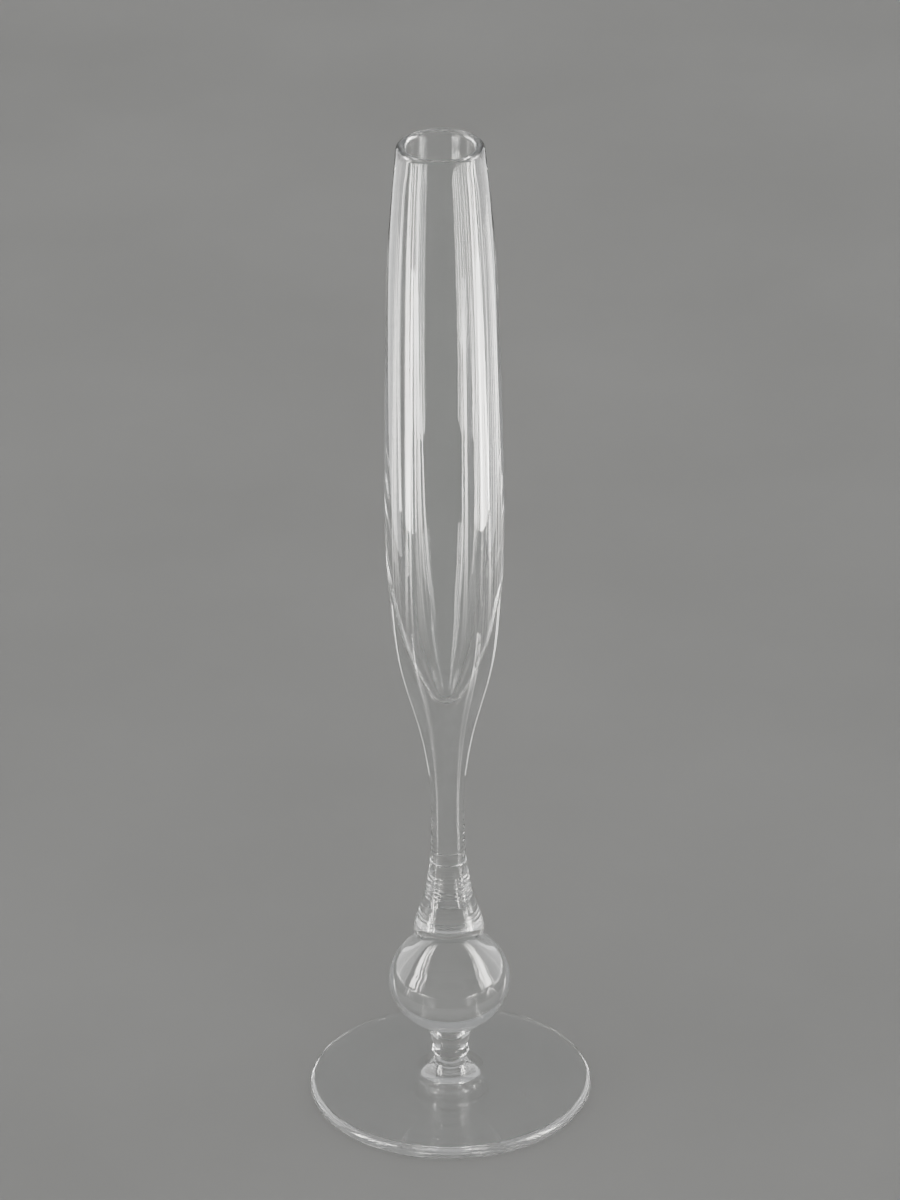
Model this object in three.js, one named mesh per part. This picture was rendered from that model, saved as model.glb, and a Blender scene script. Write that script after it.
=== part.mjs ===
// Tall hand-blown champagne flute in clear crystal, standing on a round foot.
//
// The glass is worked hot from separate gathers that are welded one on top of another:
// foot, lower merese, upper merese, ball knop, trumpet, stem and bowl. A merese is the small
// turned bead that a glassmaker puts between two bigger pieces. Every piece is a solid of
// revolution about Z, and each one meets the next on a flat, round weld face.
//
// Millimetres, +Z up. The origin is the centre of the ring that the foot stands on.

import * as THREE from "three";

// Heights of the weld faces and of the whole glass.
const FOOT_TOP = 11.5;
const LOWER_MERESE_TOP = 15.4;
const UPPER_MERESE_TOP = 22.6;
const BALL_TOP = 50.5;
const TRUMPET_TOP = 77.2;
const STEM_TOP = 105;
const HEIGHT = 300;

// Radii of the weld faces.
const FOOT_NECK_RADIUS = 4.6;
const MERESE_GROOVE_RADIUS = 4.9;
const STEM_FOOT_RADIUS = 5.05;
const STEM_TOP_RADIUS = 5.4;

// Foot: a thin disc with a fully rounded edge, which rises to a short cone in the middle.
const FOOT_RADIUS = 40.8;
const FOOT_EDGE_THICKNESS = 4;
const FOOT_EDGE_ROUNDING = 2.4;
const STANDING_RING_INNER_RADIUS = 31;
const UNDERSIDE_RISE = 0.6;
const PONTIL_RADIUS = 6.9;
const PONTIL_DEPTH = 0.7;

// Ball knop: an oblate ball, cut flat where the trumpet and the upper merese are welded on.
const BALL_RADIUS = 17.5;
const BALL_HALF_HEIGHT = 15.3;
const BALL_CENTRE = 37.05;

// Mereses and trumpet.
const LOWER_MERESE_RADIUS = 5.35;
const UPPER_MERESE_RADIUS = 5.9;
const TRUMPET_RADIUS = 10.1;
const TRUMPET_WIDEST = 55;
const TRUMPET_COLLAR_RADIUS = 5.4;

// Bowl: a thick wall, drawn by its outline outside and inside, that ends in a rounded lip.
const RIM_BEAD_RADIUS = 1.5;
const RIM_MOUTH_RADIUS = 9.3;
const CAVITY_BOTTOM = 131.2;

// How finely the pieces are turned.
const TURNS_WIDE = 40;
const TURNS_NARROW = 24;

const WELD_TOP_RADIUS = ballRadiusAt(BALL_TOP);
const WELD_BOTTOM_RADIUS = ballRadiusAt(UPPER_MERESE_TOP);

function ballRadiusAt(height) {
  const rise = (height - BALL_CENTRE) / BALL_HALF_HEIGHT;
  return BALL_RADIUS * Math.sqrt(1 - rise * rise);
}

function point(radius, height) {
  return new THREE.Vector2(radius, height);
}

// Even points on a smooth curve through a few hand-placed ones, given as [radius, height].
function smooth(places, steps) {
  const controls = places.map(([radius, height]) => new THREE.Vector3(radius, height, 0));
  const curve = new THREE.CatmullRomCurve3(controls, false, "centripetal");
  return curve.getSpacedPoints(steps).map((spot) => point(spot.x, spot.y));
}

// Points on an ellipse's arc, with angles in degrees from +radius towards +height.
function arc(centre, halfWidth, halfHeight, from, to, steps) {
  const spots = [];
  for (let step = 0; step <= steps; step += 1) {
    const angle = THREE.MathUtils.degToRad(from + ((to - from) * step) / steps);
    const radius = centre.x + halfWidth * Math.cos(angle);
    spots.push(point(radius, centre.y + halfHeight * Math.sin(angle)));
  }
  return spots;
}

const crystal = () =>
  new THREE.MeshStandardMaterial({
    color: 0xeef2f2,
    roughness: 0.03,
    metalness: 0,
    transparent: true,
    opacity: 0.35,
  });

// One closed solid of revolution. The outline runs up the outside, from the axis or to it.
function turned(name, outline, turns) {
  const geometry = new THREE.LatheGeometry(outline, turns);
  geometry.rotateX(Math.PI / 2);
  const mesh = new THREE.Mesh(geometry, crystal());
  mesh.name = name;
  return mesh;
}

// A solid piece between two flat weld faces: its side outline, closed to the axis at both ends.
function turnedBetweenWelds(name, side, turns) {
  const bottom = side[0].y;
  const top = side[side.length - 1].y;
  return turned(name, [point(0, bottom), ...side, point(0, top)], turns);
}

function makeFoot() {
  const edgeCentre = point(FOOT_RADIUS - FOOT_EDGE_ROUNDING, FOOT_EDGE_THICKNESS / 2);
  const underside = [
    point(0, UNDERSIDE_RISE + PONTIL_DEPTH),
    point(PONTIL_RADIUS * 0.6, UNDERSIDE_RISE + PONTIL_DEPTH * 0.64),
    point(PONTIL_RADIUS, UNDERSIDE_RISE),
    point((PONTIL_RADIUS + STANDING_RING_INNER_RADIUS) / 2, UNDERSIDE_RISE * 0.75),
    point(STANDING_RING_INNER_RADIUS, 0),
  ];
  const edge = arc(edgeCentre, FOOT_EDGE_ROUNDING, FOOT_EDGE_THICKNESS / 2, -90, 90, 10);
  const upperSide = smooth(
    [
      [edgeCentre.x, FOOT_EDGE_THICKNESS],
      [25, 4.5],
      [14, 5.2],
      [9.2, 6.1],
      [6.6, 7.7],
      [5.1, 9.8],
      [FOOT_NECK_RADIUS, FOOT_TOP],
    ],
    14,
  );
  const outline = [...underside, ...edge, ...upperSide.slice(1), point(0, FOOT_TOP)];
  return turned("foot", outline, TURNS_WIDE);
}

function makeLowerMerese() {
  const side = smooth(
    [
      [FOOT_NECK_RADIUS, FOOT_TOP],
      [LOWER_MERESE_RADIUS - 0.15, 12.5],
      [LOWER_MERESE_RADIUS, 13.4],
      [LOWER_MERESE_RADIUS - 0.15, 14.4],
      [MERESE_GROOVE_RADIUS, LOWER_MERESE_TOP],
    ],
    8,
  );
  return turnedBetweenWelds("lower_merese", side, TURNS_NARROW);
}

function makeUpperMerese() {
  const side = smooth(
    [
      [MERESE_GROOVE_RADIUS, LOWER_MERESE_TOP],
      [5.3, 16.8],
      [UPPER_MERESE_RADIUS, 19.1],
      [UPPER_MERESE_RADIUS - 0.2, 20.6],
      [UPPER_MERESE_RADIUS - 0.6, 21.6],
      [WELD_BOTTOM_RADIUS, UPPER_MERESE_TOP],
    ],
    10,
  );
  return turnedBetweenWelds("upper_merese", side, TURNS_NARROW);
}

function makeBallKnop() {
  const angleAt = (height) =>
    THREE.MathUtils.radToDeg(Math.asin((height - BALL_CENTRE) / BALL_HALF_HEIGHT));
  const from = angleAt(UPPER_MERESE_TOP);
  const to = angleAt(BALL_TOP);
  const side = arc(point(0, BALL_CENTRE), BALL_RADIUS, BALL_HALF_HEIGHT, from, to, 18);
  return turnedBetweenWelds("ball_knop", side, TURNS_WIDE);
}

function makeTrumpet() {
  const side = smooth(
    [
      [WELD_TOP_RADIUS, BALL_TOP],
      [9.45, 51.7],
      [TRUMPET_RADIUS - 0.1, 53.3],
      [TRUMPET_RADIUS, TRUMPET_WIDEST],
      [9.45, 57.8],
      [8.2, 61.7],
      [7.15, 65.7],
      [6.3, 69.8],
      [5.65, 73.6],
      [TRUMPET_COLLAR_RADIUS, 76],
      [TRUMPET_COLLAR_RADIUS - 0.05, 76.8],
      [STEM_FOOT_RADIUS, TRUMPET_TOP],
    ],
    22,
  );
  return turnedBetweenWelds("trumpet", side, TURNS_NARROW);
}

function makeStem() {
  const side = smooth(
    [
      [STEM_FOOT_RADIUS, TRUMPET_TOP],
      [4.85, 85.5],
      [4.72, 92.5],
      [4.95, 99.5],
      [STEM_TOP_RADIUS, STEM_TOP],
    ],
    10,
  );
  return turnedBetweenWelds("stem", side, TURNS_NARROW);
}

function makeBowl() {
  const outside = smooth(
    [
      [STEM_TOP_RADIUS, STEM_TOP],
      [7.3, 116.8],
      [10.3, 128.5],
      [13.3, 140.2],
      [15.2, 153.3],
      [16.3, 169],
      [16.7, 190],
      [16.4, 215],
      [15.75, 244],
      [14.9, 266.5],
      [13.35, 288],
      [12.65, 295],
      [12.4, 297.9],
    ],
    22,
  );
  const beadCentre = point(RIM_MOUTH_RADIUS + RIM_BEAD_RADIUS, HEIGHT - RIM_BEAD_RADIUS);
  const bead = arc(beadCentre, RIM_BEAD_RADIUS, RIM_BEAD_RADIUS, 10, 190, 9);
  const inside = smooth(
    [
      [9.34, 297],
      [9.5, 292.5],
      [10.1, 286.5],
      [11.05, 274.5],
      [12, 257],
      [12.6, 239],
      [12.7, 226],
      [12.5, 208],
      [12.3, 196],
      [11.9, 183.5],
      [11.1, 174],
      [10.2, 167],
      [8.9, 158.5],
      [7.5, 150],
      [6.2, 144.6],
      [4.6, 139.2],
      [3, 134.8],
      [1.6, 132.2],
      [0, CAVITY_BOTTOM],
    ],
    26,
  );
  return turned("bowl", [point(0, STEM_TOP), ...outside, ...bead, ...inside], TURNS_WIDE);
}

const flute = new THREE.Group();
flute.add(
  makeFoot(),
  makeLowerMerese(),
  makeUpperMerese(),
  makeBallKnop(),
  makeTrumpet(),
  makeStem(),
  makeBowl(),
);

export default flute;
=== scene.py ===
# Looks for the tall crystal champagne flute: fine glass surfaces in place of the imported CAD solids, on a
# grey floor, between folded white cloths that light the glass, with the camera at the photograph's angle.
import math

import bmesh
import bpy
import numpy as np
from mathutils import Matrix, Vector


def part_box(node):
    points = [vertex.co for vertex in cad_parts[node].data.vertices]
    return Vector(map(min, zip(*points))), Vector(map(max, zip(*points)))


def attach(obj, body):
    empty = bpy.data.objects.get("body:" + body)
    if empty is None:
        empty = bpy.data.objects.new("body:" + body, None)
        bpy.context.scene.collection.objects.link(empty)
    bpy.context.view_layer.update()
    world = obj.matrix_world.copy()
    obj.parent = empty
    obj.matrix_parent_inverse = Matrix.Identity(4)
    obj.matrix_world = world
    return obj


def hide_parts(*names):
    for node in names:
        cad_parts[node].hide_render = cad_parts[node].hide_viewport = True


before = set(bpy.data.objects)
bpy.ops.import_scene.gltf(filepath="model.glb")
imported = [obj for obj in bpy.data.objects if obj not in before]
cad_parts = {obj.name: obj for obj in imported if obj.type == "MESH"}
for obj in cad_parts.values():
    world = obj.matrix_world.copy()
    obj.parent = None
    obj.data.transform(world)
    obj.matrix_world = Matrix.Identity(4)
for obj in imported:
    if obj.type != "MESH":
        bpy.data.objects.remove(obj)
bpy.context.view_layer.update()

MM = 0.001
BODY = "root"

# How many steps a piece is turned in.
TURN_STEPS = 176

# Millimetres: heights of the weld faces between the gathers of glass, and the widest radius of each piece.
FOOT_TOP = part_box("foot")[1].z / MM
LOWER_MERESE_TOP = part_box("lower_merese")[1].z / MM
UPPER_MERESE_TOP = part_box("upper_merese")[1].z / MM
BALL_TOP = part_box("ball_knop")[1].z / MM
TRUMPET_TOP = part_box("trumpet")[1].z / MM
STEM_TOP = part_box("stem")[1].z / MM
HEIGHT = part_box("bowl")[1].z / MM
FOOT_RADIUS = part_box("foot")[1].x / MM
LOWER_MERESE_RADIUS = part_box("lower_merese")[1].x / MM
BALL_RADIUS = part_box("ball_knop")[1].x / MM
TRUMPET_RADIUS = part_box("trumpet")[1].x / MM
STEM_TOP_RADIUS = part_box("stem")[1].x / MM

# Radii of the other weld faces, and the sizes that the boxes don't give.
FOOT_NECK_RADIUS = 4.6
MERESE_GROOVE_RADIUS = 4.9
UPPER_MERESE_RADIUS = 5.9
STEM_FOOT_RADIUS = 5.05
FOOT_EDGE_THICKNESS = 4.0
FOOT_EDGE_ROUNDING = 2.4
STANDING_RING_INNER_RADIUS = 31.0
UNDERSIDE_RISE = 0.6
PONTIL_RADIUS = 6.9
PONTIL_DEPTH = 0.7
BALL_HALF_HEIGHT = 15.3
BALL_CENTRE = 37.05
TRUMPET_WIDEST = 55.0
RIM_BEAD_RADIUS = 1.5
RIM_MOUTH_RADIUS = 9.3
CAVITY_BOTTOM = 131.2

# The uneven weld between ball and trumpet: how far it is pushed up along the front, how far above, below
# and round (in degrees) the push reaches, and the radius from which it is complete.
WELD_PUSH = 4.2
WELD_REACH_ABOVE = 10.0
WELD_REACH_BELOW = 5.5
WELD_SPREAD = 70.0
WELD_FULL_RADIUS = 6.0

# Rings left by the glassmaker's tools, as (height, depth, half width), and how much of the depth is there
# all round and how much comes on top of it at the left and right.
TRUMPET_MARKS = (
    (56.9, 0.05, 0.35), (58.3, 0.09, 0.4), (59.8, 0.07, 0.3), (60.9, 0.1, 0.4), (66.3, 0.06, 0.4),
    (67.6, 0.08, 0.4), (68.9, 0.06, 0.4), (70.2, 0.09, 0.45), (71.7, 0.05, 0.4), (73.1, 0.08, 0.5),
)
STEM_MARKS = (
    (79.0, 0.06, 0.5), (80.8, 0.09, 0.5), (82.5, 0.06, 0.45), (84.4, 0.09, 0.6), (86.3, 0.06, 0.5),
    (88.6, 0.07, 0.6), (90.9, 0.04, 0.6),
)
MARK_ALL_ROUND = 0.2
MARK_AT_SIDES = 2.0

# White cloths standing round the glass: (degrees round from the front, degrees covered, low end and high
# end in metres, brightness where the glass mirrors it, brightness where it is seen through the glass).
STANDING_CLOTHS = {
    "left": ((65.0, 32.0, 0.04, 0.55, 1.0, 0.15), (57.0, 30.0, 0.05, 0.34, 0.0, 0.75)),
    "right": ((75.0, 32.0, 0.04, 0.55, 1.0, 0.15), (67.0, 34.0, 0.05, 0.34, 0.0, 0.75)),
}
# The same for the cloths that lie on the table, with their near and far ends.
LYING_CLOTHS = {
    "left": ((60.0, 40.0, 0.16, 0.75, 0.8, 0.1), (76.0, 12.0, 0.06, 0.34, 0.6, 0.1),
             (103.0, 27.0, 0.2, 0.75, 0.25, 0.0)),
    "right": ((46.0, 22.0, 0.16, 0.75, 0.8, 0.1), (79.0, 34.0, 0.16, 0.75, 0.8, 0.1),
              (76.0, 12.0, 0.06, 0.34, 0.5, 0.1), (118.0, 40.0, 0.2, 0.75, 0.2, 0.0)),
}
# Where a cloth is dark and where it is fully bright, from 0 at its low or near end to 1 at its other end.
STANDING_FADE = (1.0, 0.3)
LYING_FADE = (0.0, 0.5)
# Metres from the axis to a standing cloth, metres from the table to a lying one, watts per square metre of
# a cloth of brightness 1, how many folds lie side by side, how much they change along the cloth, and
# where in the noise each kind of cloth takes its folds from.
CLOTH_DISTANCE = 0.3
LYING_HEIGHT = 0.01
CLOTH_WATTS = 72.0
FOLDS = 9.0
FOLD_DRIFT = 0.9
STANDING_SEED = 3.7
LYING_SEED = 9.1

# The other lights, in metres and watts: narrow strips just behind the glass that draw its edges, the sides
# of the light tent behind it, and a ceiling that lights the floor.
STRIP_PLACE = (0.30, 0.14, 0.12)
STRIP_SIZE = (0.05, 0.44)
STRIP_WATTS = 0.14
STRIP_FOLDS = 3.0
WALL_PLACE = (0.34, 0.30, 0.20)
WALL_SIZE = 0.6
WALL_WATTS = 2.2
CEILING_HEIGHT = 3.0
CEILING_SIZE = 9.0
CEILING_WATTS = 150.0

# The round floor, in metres: its flat part, the bend that curves up round it, the low wall on top of the
# bend, and the gap that keeps it clear of the foot.
FLOOR_FLAT = 3.2
FLOOR_BEND = 1.4
FLOOR_WALL = 0.1
FLOOR_BEND_STEPS = 16
FLOOR_TURN_STEPS = 96
FLOOR_GAP = 0.00006

# The camera: a long lens, in millimetres and degrees, with its distance and target in metres.
CAMERA_LENS = 208.8
CAMERA_SENSOR = 36.0
CAMERA_DISTANCE = 1.954
CAMERA_ELEVATION = 27.76
CAMERA_ROLL = 0.61
CAMERA_TARGET = Vector((0.0013, 0.0, 0.1604))


# ---------------------------------------------------------------- outlines, in millimetres

def smooth(places, step):
    """Points about `step` apart on a curve with even curvature through given (radius, height)."""
    knots = np.array(places, float)
    gaps = np.linalg.norm(np.diff(knots, axis=0), axis=1) ** 0.5
    at = np.concatenate(([0.0], np.cumsum(gaps)))
    bends = spline_bends(at, knots)
    length = np.linalg.norm(np.diff(knots, axis=0), axis=1).sum()
    fine = np.linspace(0.0, at[-1], max(4, int(length / step)) + 1)
    span = np.clip(np.searchsorted(at, fine, side="right") - 1, 0, len(at) - 2)
    width = at[span + 1] - at[span]
    b = (fine - at[span]) / width
    a = 1.0 - b
    curved = (a**3 - a)[:, None] * bends[span] + (b**3 - b)[:, None] * bends[span + 1]
    points = a[:, None] * knots[span] + b[:, None] * knots[span + 1]
    points += curved * (width**2 / 6.0)[:, None]
    return [tuple(p) for p in points]


def spline_bends(at, knots):
    """Second derivatives of the natural cubic spline through the knots."""
    count = len(at)
    system = np.eye(count)
    right = np.zeros_like(knots)
    for i in range(1, count - 1):
        before, after = at[i] - at[i - 1], at[i + 1] - at[i]
        system[i, i - 1:i + 2] = before, 2.0 * (before + after), after
        rise = (knots[i + 1] - knots[i]) / after - (knots[i] - knots[i - 1]) / before
        right[i] = 6.0 * rise
    return np.linalg.solve(system, right)


def arc(centre, half_width, half_height, start, end, steps):
    """Points on an ellipse's arc, with angles in degrees from +radius towards +height."""
    angles = np.radians(np.linspace(start, end, steps + 1))
    return [(centre[0] + half_width * math.cos(t), centre[1] + half_height * math.sin(t)) for t in angles]


def ball_radius_at(height):
    rise = (height - BALL_CENTRE) / BALL_HALF_HEIGHT
    return BALL_RADIUS * math.sqrt(1.0 - rise * rise)


def foot_outline():
    edge_centre = (FOOT_RADIUS - FOOT_EDGE_ROUNDING, FOOT_EDGE_THICKNESS / 2)
    pontil = [
        (PONTIL_RADIUS * t, UNDERSIDE_RISE + PONTIL_DEPTH * (1.0 - t * t))
        for t in np.linspace(0.0, 1.0, 10)
    ]
    underside = smooth([
        (PONTIL_RADIUS, UNDERSIDE_RISE),
        ((PONTIL_RADIUS + STANDING_RING_INNER_RADIUS) / 2, UNDERSIDE_RISE * 0.75),
        (STANDING_RING_INNER_RADIUS, 0.0),
    ], 1.0)
    edge = arc(edge_centre, FOOT_EDGE_ROUNDING, FOOT_EDGE_THICKNESS / 2, -90, 90, 28)
    upper_side = smooth([
        (edge_centre[0], FOOT_EDGE_THICKNESS),
        (25, 4.5),
        (14, 5.2),
        (9.2, 6.1),
        (6.6, 7.7),
        (5.1, 9.8),
        (FOOT_NECK_RADIUS, FOOT_TOP),
    ], 0.5)
    return pontil[:-1] + underside + edge + upper_side[1:]


def lower_merese_outline():
    return smooth([
        (FOOT_NECK_RADIUS, FOOT_TOP),
        (LOWER_MERESE_RADIUS - 0.15, 12.5),
        (LOWER_MERESE_RADIUS, 13.4),
        (LOWER_MERESE_RADIUS - 0.15, 14.4),
        (MERESE_GROOVE_RADIUS, LOWER_MERESE_TOP),
    ], 0.15)


def upper_merese_outline():
    return smooth([
        (MERESE_GROOVE_RADIUS, LOWER_MERESE_TOP),
        (5.3, 16.8),
        (UPPER_MERESE_RADIUS, 19.1),
        (UPPER_MERESE_RADIUS - 0.2, 20.6),
        (UPPER_MERESE_RADIUS - 0.6, 21.6),
        (ball_radius_at(UPPER_MERESE_TOP), UPPER_MERESE_TOP),
    ], 0.2)


def ball_outline():
    start = math.degrees(math.asin((UPPER_MERESE_TOP - BALL_CENTRE) / BALL_HALF_HEIGHT))
    end = math.degrees(math.asin((BALL_TOP - BALL_CENTRE) / BALL_HALF_HEIGHT))
    return arc((0.0, BALL_CENTRE), BALL_RADIUS, BALL_HALF_HEIGHT, start, end, 96)


def trumpet_outline():
    side = smooth([
        (ball_radius_at(BALL_TOP), BALL_TOP),
        (9.45, 51.7),
        (TRUMPET_RADIUS - 0.1, 53.3),
        (TRUMPET_RADIUS, TRUMPET_WIDEST),
        (9.45, 57.8),
        (8.2, 61.7),
        (7.15, 65.7),
        (6.3, 69.8),
        (5.65, 73.6),
        (5.4, 76.0),
        (5.35, 76.8),
        (STEM_FOOT_RADIUS, TRUMPET_TOP),
    ], 0.12)
    return tool_marks(side, TRUMPET_MARKS)


def stem_outline():
    side = smooth([
        (STEM_FOOT_RADIUS, TRUMPET_TOP),
        (4.85, 85.5),
        (4.72, 92.5),
        (4.95, 99.5),
        (STEM_TOP_RADIUS, STEM_TOP),
    ], 0.15)
    return tool_marks(side, STEM_MARKS)


def bowl_outline():
    outside = smooth([
        (STEM_TOP_RADIUS, STEM_TOP),
        (7.3, 116.8),
        (10.3, 128.5),
        (13.3, 140.2),
        (15.2, 153.3),
        (16.3, 169),
        (16.7, 190),
        (16.4, 215),
        (15.75, 244),
        (14.9, 266.5),
        (13.35, 288),
        (12.65, 295),
        (12.4, 297.9),
    ], 0.8)
    bead_centre = (RIM_MOUTH_RADIUS + RIM_BEAD_RADIUS, HEIGHT - RIM_BEAD_RADIUS)
    bead = arc(bead_centre, RIM_BEAD_RADIUS, RIM_BEAD_RADIUS, 10, 190, 27)
    inside = smooth([
        (9.34, 297),
        (9.5, 292.5),
        (10.1, 286.5),
        (11.05, 274.5),
        (12, 257),
        (12.6, 239),
        (12.7, 226),
        (12.5, 208),
        (12.3, 196),
        (11.9, 183.5),
        (11.1, 174),
        (10.2, 167),
        (8.9, 158.5),
        (7.5, 150),
        (6.2, 144.6),
        (4.6, 139.2),
        (3, 134.8),
        (1.6, 132.2),
        (0, CAVITY_BOTTOM),
    ], 0.8)
    return outside + bead + inside


# ---------------------------------------------------------------- turning an outline into a mesh

def uneven_weld(radius, angle, height):
    """Height of a point after the hot weld between ball and trumpet was pushed up along the front."""
    from_front = (math.degrees(angle) + 90.0 + 180.0) % 360.0 - 180.0
    reach = WELD_REACH_ABOVE if height > BALL_TOP else WELD_REACH_BELOW
    near = max(0.0, 1.0 - abs(height - BALL_TOP) / reach)
    near = near * near * (3.0 - 2.0 * near)
    around = math.exp(-((from_front / WELD_SPREAD) ** 4))
    return height + WELD_PUSH * near * around * min(1.0, radius / WELD_FULL_RADIUS)


def tool_marks(outline, marks):
    """The outline with a third number at each point: how deep the tool marks are there."""
    marked = []
    for radius, height in outline:
        pressed = sum(depth * math.exp(-(((height - centre) / half_width) ** 2))
                      for centre, depth, half_width in marks)
        marked.append((radius, height, pressed))
    marked[0], marked[-1] = outline[0], outline[-1]
    return marked


def turn(name, outline, materials):
    """A closed solid of revolution in metres. An outline end that is off the axis is closed by a flat
    weld face, which takes the second material."""
    mesh = bmesh.new()
    rings = [make_ring(mesh, *point) for point in outline]
    for below, above in zip(rings, rings[1:]):
        join_rings(mesh, below, above)
    if len(rings[0]) > 1:
        close_with_weld_face(mesh, rings[0], outline[0][1], facing_up=False)
    if len(rings[-1]) > 1:
        close_with_weld_face(mesh, rings[-1], outline[-1][1], facing_up=True)
    data = bpy.data.meshes.new(name)
    mesh.to_mesh(data)
    mesh.free()
    for material in materials:
        data.materials.append(material)
    piece = bpy.data.objects.new(name, data)
    bpy.context.scene.collection.objects.link(piece)
    return piece


def make_ring(mesh, radius, height, pressed=0.0):
    """One turn of the mesh. Its tool marks are deepest on the left and right."""
    if radius < 1e-6:
        return [mesh.verts.new((0.0, 0.0, height * MM))]
    ring = []
    for step in range(TURN_STEPS):
        angle = 2.0 * math.pi * step / TURN_STEPS
        reach = radius - pressed * (MARK_ALL_ROUND + MARK_AT_SIDES * math.cos(angle) ** 4)
        up = uneven_weld(reach, angle, height)
        place = Vector((reach * math.cos(angle), reach * math.sin(angle), up))
        ring.append(mesh.verts.new(place * MM))
    return ring


def join_rings(mesh, below, above):
    for step in range(TURN_STEPS):
        after = (step + 1) % TURN_STEPS
        if len(below) == 1:
            corners = (below[0], above[after], above[step])
        elif len(above) == 1:
            corners = (below[step], below[after], above[0])
        else:
            corners = (below[step], below[after], above[after], above[step])
        mesh.faces.new(corners).smooth = True


def close_with_weld_face(mesh, ring, height, facing_up):
    middle = mesh.verts.new((0.0, 0.0, height * MM))
    for step in range(TURN_STEPS):
        here, after = ring[step], ring[(step + 1) % TURN_STEPS]
        corners = (here, after, middle) if facing_up else (after, here, middle)
        face = mesh.faces.new(corners)
        face.material_index = 1
        face.smooth = False
        mesh.edges.get((here, after)).smooth = False


# ---------------------------------------------------------------- materials

def new_material(name):
    material = bpy.data.materials.new(name)
    material.use_nodes = True
    nodes = material.node_tree.nodes
    nodes.clear()
    return material, nodes, material.node_tree.links


def crystal_material(name, ripple_scale, ripple_height):
    """Clear crystal, whose shadow is nearly as clear as the glass."""
    material, nodes, links = new_material(name)
    glass = glass_shader(nodes, links, ripple_scale, ripple_height)
    shadow = shadow_shader(nodes, links)
    path = nodes.new("ShaderNodeLightPath")
    mix = nodes.new("ShaderNodeMixShader")
    out = nodes.new("ShaderNodeOutputMaterial")
    links.new(path.outputs["Is Shadow Ray"], mix.inputs["Fac"])
    links.new(glass.outputs["BSDF"], mix.inputs[1])
    links.new(shadow.outputs["BSDF"], mix.inputs[2])
    links.new(mix.outputs["Shader"], out.inputs["Surface"])
    return material


def glass_shader(nodes, links, ripple_scale, ripple_height):
    """Even refraction, with faint hand-worked ripples and slight smears in the gloss."""
    glass = nodes.new("ShaderNodeBsdfPrincipled")
    glass.inputs["Base Color"].default_value = (0.985, 0.992, 0.99, 1.0)
    glass.inputs["Transmission Weight"].default_value = 1.0
    glass.inputs["IOR"].default_value = 1.54
    place = nodes.new("ShaderNodeTexCoord")
    smears = nodes.new("ShaderNodeTexNoise")
    smears.inputs["Scale"].default_value = 60.0
    smears.inputs["Detail"].default_value = 6.0
    gloss = nodes.new("ShaderNodeMapRange")
    gloss.inputs["From Min"].default_value = 0.55
    gloss.inputs["From Max"].default_value = 0.8
    gloss.inputs["To Min"].default_value = 0.0
    gloss.inputs["To Max"].default_value = 0.05
    ripples = nodes.new("ShaderNodeTexNoise")
    ripples.inputs["Scale"].default_value = ripple_scale
    ripples.inputs["Detail"].default_value = 1.0
    bump = nodes.new("ShaderNodeBump")
    bump.inputs["Strength"].default_value = 1.0
    bump.inputs["Distance"].default_value = ripple_height * MM
    links.new(place.outputs["Object"], smears.inputs["Vector"])
    links.new(smears.outputs["Fac"], gloss.inputs["Value"])
    links.new(gloss.outputs["Result"], glass.inputs["Roughness"])
    links.new(place.outputs["Object"], ripples.inputs["Vector"])
    links.new(ripples.outputs["Fac"], bump.inputs["Height"])
    links.new(bump.outputs["Normal"], glass.inputs["Normal"])
    return glass


def shadow_shader(nodes, links):
    """Clear shadow, a little darker where the glass is met edge on."""
    edge = nodes.new("ShaderNodeLayerWeight")
    edge.inputs["Blend"].default_value = 0.35
    dimming = nodes.new("ShaderNodeMapRange")
    dimming.inputs["To Min"].default_value = 1.0
    dimming.inputs["To Max"].default_value = 0.8
    shadow = nodes.new("ShaderNodeBsdfTransparent")
    links.new(edge.outputs["Facing"], dimming.inputs["Value"])
    links.new(dimming.outputs["Result"], shadow.inputs["Color"])
    return shadow


def weld_material():
    """The weld faces lie inside one body of glass, so light goes straight through them."""
    material, nodes, links = new_material("weld_inside_glass")
    clear = nodes.new("ShaderNodeBsdfTransparent")
    out = nodes.new("ShaderNodeOutputMaterial")
    links.new(clear.outputs["BSDF"], out.inputs["Surface"])
    return material


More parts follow.
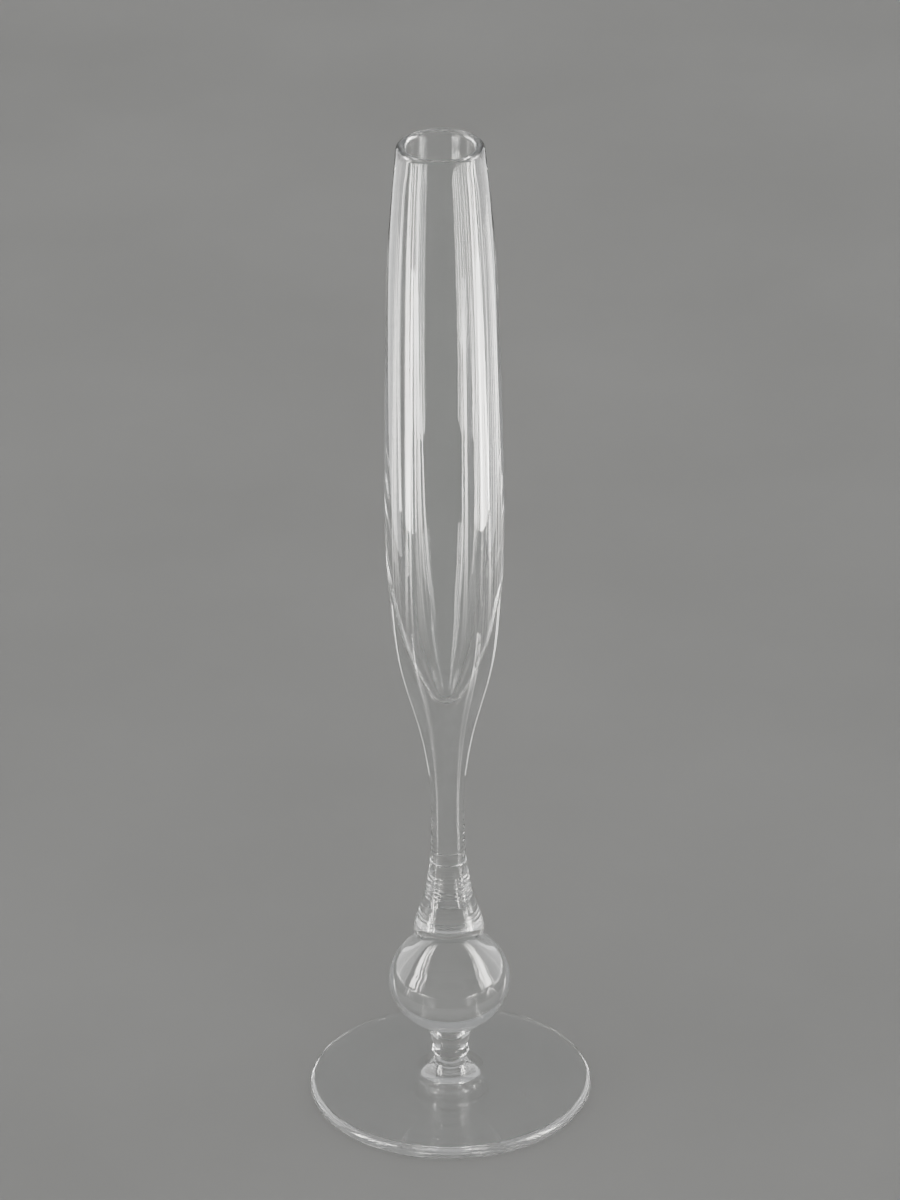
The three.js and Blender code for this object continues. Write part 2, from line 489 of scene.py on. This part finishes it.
def floor_material():
    """Matt grey paper, faintly mottled, painted lighter far from the glass: painted light on the far floor
    and its sweep.
    """
    material, nodes, links = new_material("pale_floor")
    paper = nodes.new("ShaderNodeBsdfPrincipled")
    paper.inputs["Roughness"].default_value = 1.0
    paper.inputs["Specular IOR Level"].default_value = 0.0
    place = nodes.new("ShaderNodeTexCoord")
    mottle = nodes.new("ShaderNodeTexNoise")
    mottle.inputs["Scale"].default_value = 6.0
    mottle.inputs["Detail"].default_value = 5.0
    shade = nodes.new("ShaderNodeValToRGB")
    shade.color_ramp.elements[0].position = 0.3
    shade.color_ramp.elements[0].color = (0.50, 0.50, 0.49, 1.0)
    shade.color_ramp.elements[1].position = 0.7
    shade.color_ramp.elements[1].color = (0.54, 0.54, 0.53, 1.0)
    # Painted light: the paper's grey is mixed towards a lighter grey from 0.8 m to 4.2 m away from the
    # glass.
    far = nodes.new("ShaderNodeVectorMath")
    far.operation = "LENGTH"
    rise = nodes.new("ShaderNodeMapRange")
    rise.inputs["From Min"].default_value = 0.8
    rise.inputs["From Max"].default_value = 4.2
    lighter = nodes.new("ShaderNodeMix")
    lighter.data_type = "RGBA"
    lighter.inputs[7].default_value = (0.64, 0.64, 0.63, 1.0)
    out = nodes.new("ShaderNodeOutputMaterial")
    links.new(place.outputs["Object"], mottle.inputs["Vector"])
    links.new(mottle.outputs["Fac"], shade.inputs["Fac"])
    links.new(place.outputs["Object"], far.inputs[0])
    links.new(far.outputs["Value"], rise.inputs["Value"])
    links.new(rise.outputs["Result"], lighter.inputs[0])
    links.new(shade.outputs["Color"], lighter.inputs[6])
    links.new(lighter.outputs[2], paper.inputs["Base Color"])
    links.new(paper.outputs["BSDF"], out.inputs["Surface"])
    return material


# ---------------------------------------------------------------- the object

def make_glass():
    weld = weld_material()
    worked = crystal_material("crystal_worked", ripple_scale=120.0, ripple_height=0.010)
    blown = crystal_material("crystal_blown", ripple_scale=60.0, ripple_height=0.010)
    outlines = {
        "foot": (foot_outline(), blown),
        "lower_merese": (lower_merese_outline(), worked),
        "upper_merese": (upper_merese_outline(), worked),
        "ball_knop": (ball_outline(), blown),
        "trumpet": (trumpet_outline(), worked),
        "stem": (stem_outline(), worked),
        "bowl": (bowl_outline(), blown),
    }
    for node, (outline, crystal) in outlines.items():
        piece = turn("glass_" + node, outline, (crystal, weld))
        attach(piece, BODY)
        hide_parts(node)


# ---------------------------------------------------------------- stage, light and camera

def floor_mesh(outline):
    """Corners and faces of the outline turned about the axis, starting from its point on the axis."""
    steps = FLOOR_TURN_STEPS
    verts, faces = [(0.0, 0.0, 0.0)], []
    for radius, height in outline[1:]:
        for step in range(steps):
            angle = 2.0 * math.pi * step / steps
            verts.append((radius * math.cos(angle), radius * math.sin(angle), height))
    for step in range(steps):
        faces.append((0, 1 + step, 1 + (step + 1) % steps))
    for ring in range(len(outline) - 2):
        low, high = 1 + ring * steps, 1 + (ring + 1) * steps
        for step in range(steps):
            after = (step + 1) % steps
            faces.append((low + step, high + step, high + after, low + after))
    return verts, faces


def make_stage():
    """A round sweep: flat floor that curves up far outside every view."""
    outline = [(0.0, 0.0), (0.5, 0.0), (1.5, 0.0), (FLOOR_FLAT, 0.0)]
    for step in range(1, FLOOR_BEND_STEPS + 1):
        angle = math.radians(90.0 * step / FLOOR_BEND_STEPS)
        rise = FLOOR_BEND * (1.0 - math.cos(angle))
        outline.append((FLOOR_FLAT + FLOOR_BEND * math.sin(angle), rise))
    outline.append((FLOOR_FLAT + FLOOR_BEND, FLOOR_BEND + FLOOR_WALL))
    verts, faces = floor_mesh(outline)
    data = bpy.data.meshes.new("floor")
    data.from_pydata(verts, [], faces)
    data.materials.append(floor_material())
    data.shade_smooth()
    floor = bpy.data.objects.new("floor", data)
    bpy.context.scene.collection.objects.link(floor)
    floor.location.z = -FLOOR_GAP


def aim(thing, place, target):
    thing.location = place
    thing.rotation_euler = (Vector(target) - Vector(place)).to_track_quat("-Z", "Y").to_euler()


def area_light(name, place, target, width, height, watts, folds=None):
    data = bpy.data.lights.new(name, "AREA")
    data.shape = "RECTANGLE"
    data.size, data.size_y = width, height
    data.energy = watts
    light = bpy.data.objects.new(name, data)
    bpy.context.scene.collection.objects.link(light)
    aim(light, place, target)
    light.visible_camera = False
    if folds:
        fold_the_light(data, folds)
    return light


def cloth_lights(name, turned, place, size, shares, fade, seed):
    """A folded cloth, as one light that the glass mirrors and one that is seen through the glass. The
    two differ in brightness, which those of a real cloth wouldn't."""
    width, length = size
    folds = (FOLDS, fade, seed)
    for seen, share in zip(("mirrored", "through"), shares):
        if share == 0.0:
            continue
        watts = CLOTH_WATTS * share * width * length
        cloth = area_light(name + "_" + seen, place, (0, 0, 0), width, length, watts, folds)
        cloth.rotation_euler = turned.to_euler()
        cloth.visible_diffuse = False
        cloth.visible_glossy = seen == "mirrored"
        cloth.visible_transmission = seen == "through"


def make_standing_cloth(name, side, cloth, seed):
    azimuth, covered, low, high, *shares = cloth
    angle = math.radians(azimuth)
    outwards = Vector((side * math.sin(angle), -math.cos(angle), 0.0))
    upwards = Vector((0.0, 0.0, 1.0))
    place = outwards * CLOTH_DISTANCE + upwards * (low + high) / 2
    width = 2.0 * CLOTH_DISTANCE * math.tan(math.radians(covered / 2))
    turned = Matrix((upwards.cross(outwards), upwards, outwards)).transposed()
    cloth_lights(name, turned, place, (width, high - low), shares, STANDING_FADE, seed)


def make_lying_cloth(name, side, cloth, seed):
    azimuth, covered, near, far, *shares = cloth
    angle = math.radians(azimuth)
    outwards = Vector((side * math.sin(angle), -math.cos(angle), 0.0))
    downwards = Vector((0.0, 0.0, -1.0))
    place = outwards * (near + far) / 2 - downwards * LYING_HEIGHT
    width = (near + far) * math.tan(math.radians(covered / 2))
    turned = Matrix((outwards.cross(downwards), outwards, downwards)).transposed()
    cloth_lights(name, turned, place, (width, far - near), shares, LYING_FADE, seed)


def fold_the_light(data, folds):
    """Brighter and darker folds that run the long way of a cloth, which fades out towards one end. The
    folds are (how many across, where dark and where fully bright, seed)."""
    count, fading, seed = folds
    data.use_nodes = True
    nodes, links = data.node_tree.nodes, data.node_tree.links
    # On an area light, Parametric runs from 0 to 1 across in x and the long way in y.
    place = nodes.new("ShaderNodeNewGeometry")
    where = nodes.new("ShaderNodeVectorMath")
    where.operation = "MULTIPLY_ADD"
    where.inputs[1].default_value = (count, FOLD_DRIFT, 0.0)
    where.inputs[2].default_value = (0.0, 0.0, seed)
    cloth = nodes.new("ShaderNodeTexNoise")
    cloth.inputs["Scale"].default_value = 1.0
    cloth.inputs["Detail"].default_value = 3.0
    tone = nodes.new("ShaderNodeValToRGB")
    tone.color_ramp.elements[0].position = 0.48
    tone.color_ramp.elements[0].color = (0.03, 0.031, 0.033, 1.0)
    tone.color_ramp.elements[1].position = 0.6
    tone.color_ramp.elements[1].color = (1.0, 0.98, 0.94, 1.0)
    ends = nodes.new("ShaderNodeSeparateXYZ")
    fade = nodes.new("ShaderNodeMapRange")
    fade.interpolation_type = "SMOOTHSTEP"
    fade.inputs["From Min"].default_value, fade.inputs["From Max"].default_value = fading
    links.new(place.outputs["Parametric"], where.inputs[0])
    links.new(where.outputs["Vector"], cloth.inputs["Vector"])
    links.new(cloth.outputs["Fac"], tone.inputs["Fac"])
    links.new(place.outputs["Parametric"], ends.inputs[0])
    links.new(ends.outputs["Y"], fade.inputs["Value"])
    links.new(fade.outputs["Result"], nodes["Emission"].inputs["Strength"])
    links.new(tone.outputs["Color"], nodes["Emission"].inputs["Color"])


def make_edge_strip(name, side):
    across, back, up = STRIP_PLACE
    width, length = STRIP_SIZE
    place = (side * across, back, up)
    folds = (STRIP_FOLDS, STANDING_FADE, side)
    strip = area_light("edge_strip_" + name, place, (0, 0, up), width, length, STRIP_WATTS, folds)
    strip.visible_diffuse = False


def make_tent_wall(name, side):
    across, back, up = WALL_PLACE
    place = (side * across, back, up)
    wall = area_light("tent_wall_" + name, place, (0, back, up), WALL_SIZE, WALL_SIZE, WALL_WATTS)
    wall.visible_diffuse = False
    wall.visible_transmission = False


def make_ceiling():
    place = (0.0, 0.0, CEILING_HEIGHT)
    ceiling = area_light("ceiling", place, (0, 0, 0), CEILING_SIZE, CEILING_SIZE, CEILING_WATTS)
    ceiling.data.cycles.use_multiple_importance_sampling = False


def make_lights():
    """Cloths, an edge strip and a tent wall on each side, for the glass alone, and a big soft ceiling
    light that also lights the floor."""
    for name, side in (("left", -1.0), ("right", 1.0)):
        for part, cloth in enumerate(STANDING_CLOTHS[name]):
            seed = side * STANDING_SEED + part
            make_standing_cloth("standing_%s_%d" % (name, part), side, cloth, seed)
        for part, cloth in enumerate(LYING_CLOTHS[name]):
            seed = side * LYING_SEED + part
            make_lying_cloth("lying_%s_%d" % (name, part), side, cloth, seed)
        make_edge_strip(name, side)
        make_tent_wall(name, side)
    make_ceiling()
    make_sky()


def make_sky():
    """Even grey surroundings, brighter overhead, which the glass shows but which don't light the floor."""
    world = bpy.data.worlds.new("studio")
    world.use_nodes = True
    nodes, links = world.node_tree.nodes, world.node_tree.links
    place = nodes.new("ShaderNodeTexCoord")
    split = nodes.new("ShaderNodeSeparateXYZ")
    tone = nodes.new("ShaderNodeValToRGB")
    tone.color_ramp.elements[0].position = 0.0
    tone.color_ramp.elements[0].color = (0.24, 0.245, 0.25, 1.0)
    tone.color_ramp.elements[1].position = 1.0
    tone.color_ramp.elements[1].color = (0.4, 0.4, 0.4, 1.0)
    links.new(place.outputs["Generated"], split.inputs["Vector"])
    links.new(split.outputs["Z"], tone.inputs["Fac"])
    links.new(tone.outputs["Color"], nodes["Background"].inputs["Color"])
    world.cycles_visibility.diffuse = False
    bpy.context.scene.world = world


def make_camera():
    data = bpy.data.cameras.new("camera")
    data.lens = CAMERA_LENS
    data.sensor_width = CAMERA_SENSOR
    camera = bpy.data.objects.new("camera", data)
    bpy.context.scene.collection.objects.link(camera)
    elevation = math.radians(CAMERA_ELEVATION)
    back = Vector((0.0, -math.cos(elevation), math.sin(elevation)))
    camera.location = CAMERA_TARGET + back * CAMERA_DISTANCE
    look = (-back).to_track_quat("-Z", "Y").to_matrix()
    view_axis = look @ Vector((0.0, 0.0, 1.0))
    roll = Matrix.Rotation(-math.radians(CAMERA_ROLL), 3, view_axis)
    camera.rotation_euler = (roll @ look).to_euler()
    bpy.context.scene.camera = camera


def set_rendering():
    """Bounces enough for light to pass through all the glass, and a view with strong contrast."""
    scene = bpy.context.scene
    scene.view_settings.view_transform = "AgX"
    scene.view_settings.look = "AgX - High Contrast"
    scene.cycles.max_bounces = 96
    scene.cycles.transmission_bounces = 96
    scene.cycles.glossy_bounces = 64
    scene.cycles.transparent_max_bounces = 64
    scene.cycles.caustics_reflective = False
    scene.cycles.caustics_refractive = False
    scene.cycles.use_denoising = True


make_camera()
make_stage()
make_lights()
make_glass()
set_rendering()
